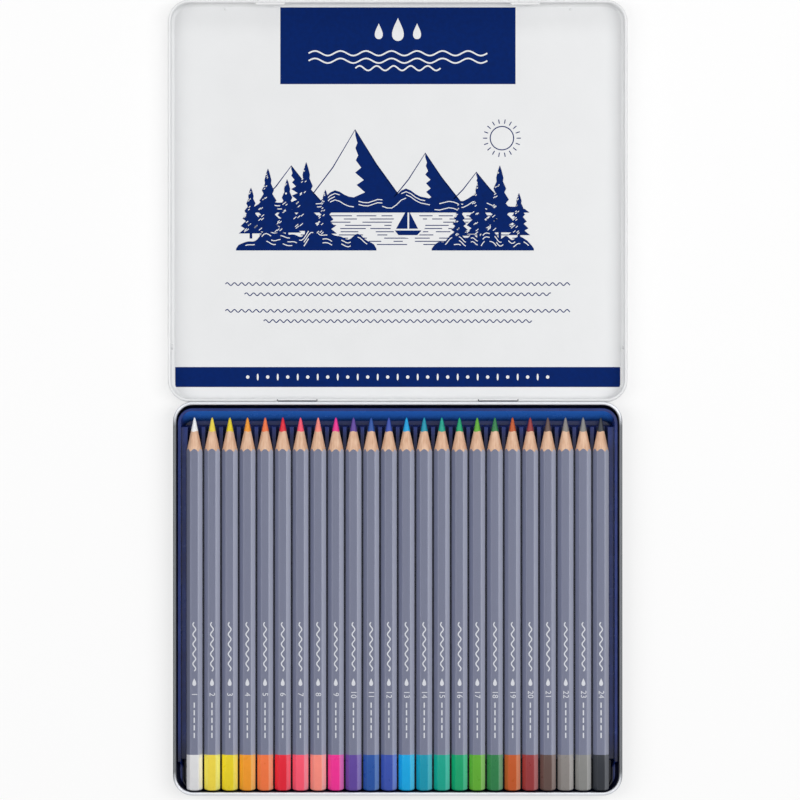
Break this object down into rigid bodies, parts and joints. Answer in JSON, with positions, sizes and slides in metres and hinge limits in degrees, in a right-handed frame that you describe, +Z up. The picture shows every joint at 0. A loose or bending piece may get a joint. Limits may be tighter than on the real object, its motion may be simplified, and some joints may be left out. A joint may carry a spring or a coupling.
{
  "type": "watercolor pencil set",
  "caption": "Flat hinged tin, lying open, with a formed tray of sharpened six-sided watercolor pencils in a row, each with its own dipped end colour.",
  "frame": {"origin": "centre of the base tin's underside", "axes": "+X to the right along the hinge, +Y from the pencils' dipped ends to the hinge and the open lid, +Z up"},
  "size_m": [0.2156, 0.373, 0.0103],
  "materials": {
    "tinplate": "bright tinplate",
    "white_lacquer": "white lacquer",
    "wire": "drawn steel",
    "tray_plastic": "vacuum-formed navy sheet",
    "barrel": "silver-blue lacquer on cedar",
    "lead_01": "pigment and wax",
    "lead_02": "pigment and wax",
    "lead_03": "pigment and wax",
    "lead_04": "pigment and wax",
    "lead_05": "pigment and wax",
    "lead_06": "pigment and wax",
    "lead_07": "pigment and wax",
    "lead_08": "pigment and wax",
    "lead_09": "pigment and wax",
    "lead_10": "pigment and wax",
    "lead_11": "pigment and wax",
    "lead_12": "pigment and wax",
    "lead_13": "pigment and wax",
    "lead_14": "pigment and wax",
    "lead_15": "pigment and wax",
    "lead_16": "pigment and wax",
    "lead_17": "pigment and wax",
    "lead_18": "pigment and wax",
    "lead_19": "pigment and wax",
    "lead_20": "pigment and wax",
    "lead_21": "pigment and wax",
    "lead_22": "pigment and wax",
    "lead_23": "pigment and wax",
    "lead_24": "pigment and wax"
  },
  "bodies": {
    "base": {"base_tin": "tinplate"},
    "lid": {"lid_tin": "white_lacquer", "hinge_wire_left": "wire", "hinge_wire_right": "wire"},
    "tray": {"tray": "tray_plastic"},
    "pencil_01": {"pencil_01_barrel": "barrel", "pencil_01_lead": "lead_01"},
    "pencil_02": {"pencil_02_barrel": "barrel", "pencil_02_lead": "lead_02"},
    "pencil_03": {"pencil_03_barrel": "barrel", "pencil_03_lead": "lead_03"},
    "pencil_04": {"pencil_04_barrel": "barrel", "pencil_04_lead": "lead_04"},
    "pencil_05": {"pencil_05_barrel": "barrel", "pencil_05_lead": "lead_05"},
    "pencil_06": {"pencil_06_barrel": "barrel", "pencil_06_lead": "lead_06"},
    "pencil_07": {"pencil_07_barrel": "barrel", "pencil_07_lead": "lead_07"},
    "pencil_08": {"pencil_08_barrel": "barrel", "pencil_08_lead": "lead_08"},
    "pencil_09": {"pencil_09_barrel": "barrel", "pencil_09_lead": "lead_09"},
    "pencil_10": {"pencil_10_barrel": "barrel", "pencil_10_lead": "lead_10"},
    "pencil_11": {"pencil_11_barrel": "barrel", "pencil_11_lead": "lead_11"},
    "pencil_12": {"pencil_12_barrel": "barrel", "pencil_12_lead": "lead_12"},
    "pencil_13": {"pencil_13_barrel": "barrel", "pencil_13_lead": "lead_13"},
    "pencil_14": {"pencil_14_barrel": "barrel", "pencil_14_lead": "lead_14"},
    "pencil_15": {"pencil_15_barrel": "barrel", "pencil_15_lead": "lead_15"},
    "pencil_16": {"pencil_16_barrel": "barrel", "pencil_16_lead": "lead_16"},
    "pencil_17": {"pencil_17_barrel": "barrel", "pencil_17_lead": "lead_17"},
    "pencil_18": {"pencil_18_barrel": "barrel", "pencil_18_lead": "lead_18"},
    "pencil_19": {"pencil_19_barrel": "barrel", "pencil_19_lead": "lead_19"},
    "pencil_20": {"pencil_20_barrel": "barrel", "pencil_20_lead": "lead_20"},
    "pencil_21": {"pencil_21_barrel": "barrel", "pencil_21_lead": "lead_21"},
    "pencil_22": {"pencil_22_barrel": "barrel", "pencil_22_lead": "lead_22"},
    "pencil_23": {"pencil_23_barrel": "barrel", "pencil_23_lead": "lead_23"},
    "pencil_24": {"pencil_24_barrel": "barrel", "pencil_24_lead": "lead_24"}
  },
  "joints": [
    {"name": "lid_hinge", "type": "hinge", "parent": "base", "child": "lid", "pos_m": [0, 0.0929, 0.007], "axis": [-1, 0, 0], "range_deg": [-180, 0]},
    {"name": "tray_lift", "type": "slide", "parent": "base", "child": "tray", "axis": [0, 0, 1], "range_m": [0, 0.05]},
    {"name": "pencil_01_lift", "type": "slide", "parent": "tray", "child": "pencil_01", "axis": [0, 0, 1], "range_m": [0, 0.05]},
    {"name": "pencil_02_lift", "type": "slide", "parent": "tray", "child": "pencil_02", "axis": [0, 0, 1], "range_m": [0, 0.05]},
    {"name": "pencil_03_lift", "type": "slide", "parent": "tray", "child": "pencil_03", "axis": [0, 0, 1], "range_m": [0, 0.05]},
    {"name": "pencil_04_lift", "type": "slide", "parent": "tray", "child": "pencil_04", "axis": [0, 0, 1], "range_m": [0, 0.05]},
    {"name": "pencil_05_lift", "type": "slide", "parent": "tray", "child": "pencil_05", "axis": [0, 0, 1], "range_m": [0, 0.05]},
    {"name": "pencil_06_lift", "type": "slide", "parent": "tray", "child": "pencil_06", "axis": [0, 0, 1], "range_m": [0, 0.05]},
    {"name": "pencil_07_lift", "type": "slide", "parent": "tray", "child": "pencil_07", "axis": [0, 0, 1], "range_m": [0, 0.05]},
    {"name": "pencil_08_lift", "type": "slide", "parent": "tray", "child": "pencil_08", "axis": [0, 0, 1], "range_m": [0, 0.05]},
    {"name": "pencil_09_lift", "type": "slide", "parent": "tray", "child": "pencil_09", "axis": [0, 0, 1], "range_m": [0, 0.05]},
    {"name": "pencil_10_lift", "type": "slide", "parent": "tray", "child": "pencil_10", "axis": [0, 0, 1], "range_m": [0, 0.05]},
    {"name": "pencil_11_lift", "type": "slide", "parent": "tray", "child": "pencil_11", "axis": [0, 0, 1], "range_m": [0, 0.05]},
    {"name": "pencil_12_lift", "type": "slide", "parent": "tray", "child": "pencil_12", "axis": [0, 0, 1], "range_m": [0, 0.05]},
    {"name": "pencil_13_lift", "type": "slide", "parent": "tray", "child": "pencil_13", "axis": [0, 0, 1], "range_m": [0, 0.05]},
    {"name": "pencil_14_lift", "type": "slide", "parent": "tray", "child": "pencil_14", "axis": [0, 0, 1], "range_m": [0, 0.05]},
    {"name": "pencil_15_lift", "type": "slide", "parent": "tray", "child": "pencil_15", "axis": [0, 0, 1], "range_m": [0, 0.05]},
    {"name": "pencil_16_lift", "type": "slide", "parent": "tray", "child": "pencil_16", "axis": [0, 0, 1], "range_m": [0, 0.05]},
    {"name": "pencil_17_lift", "type": "slide", "parent": "tray", "child": "pencil_17", "axis": [0, 0, 1], "range_m": [0, 0.05]},
    {"name": "pencil_18_lift", "type": "slide", "parent": "tray", "child": "pencil_18", "axis": [0, 0, 1], "range_m": [0, 0.05]},
    {"name": "pencil_19_lift", "type": "slide", "parent": "tray", "child": "pencil_19", "axis": [0, 0, 1], "range_m": [0, 0.05]},
    {"name": "pencil_20_lift", "type": "slide", "parent": "tray", "child": "pencil_20", "axis": [0, 0, 1], "range_m": [0, 0.05]},
    {"name": "pencil_21_lift", "type": "slide", "parent": "tray", "child": "pencil_21", "axis": [0, 0, 1], "range_m": [0, 0.05]},
    {"name": "pencil_22_lift", "type": "slide", "parent": "tray", "child": "pencil_22", "axis": [0, 0, 1], "range_m": [0, 0.05]},
    {"name": "pencil_23_lift", "type": "slide", "parent": "tray", "child": "pencil_23", "axis": [0, 0, 1], "range_m": [0, 0.05]},
    {"name": "pencil_24_lift", "type": "slide", "parent": "tray", "child": "pencil_24", "axis": [0, 0, 1], "range_m": [0, 0.05]}
  ]
}
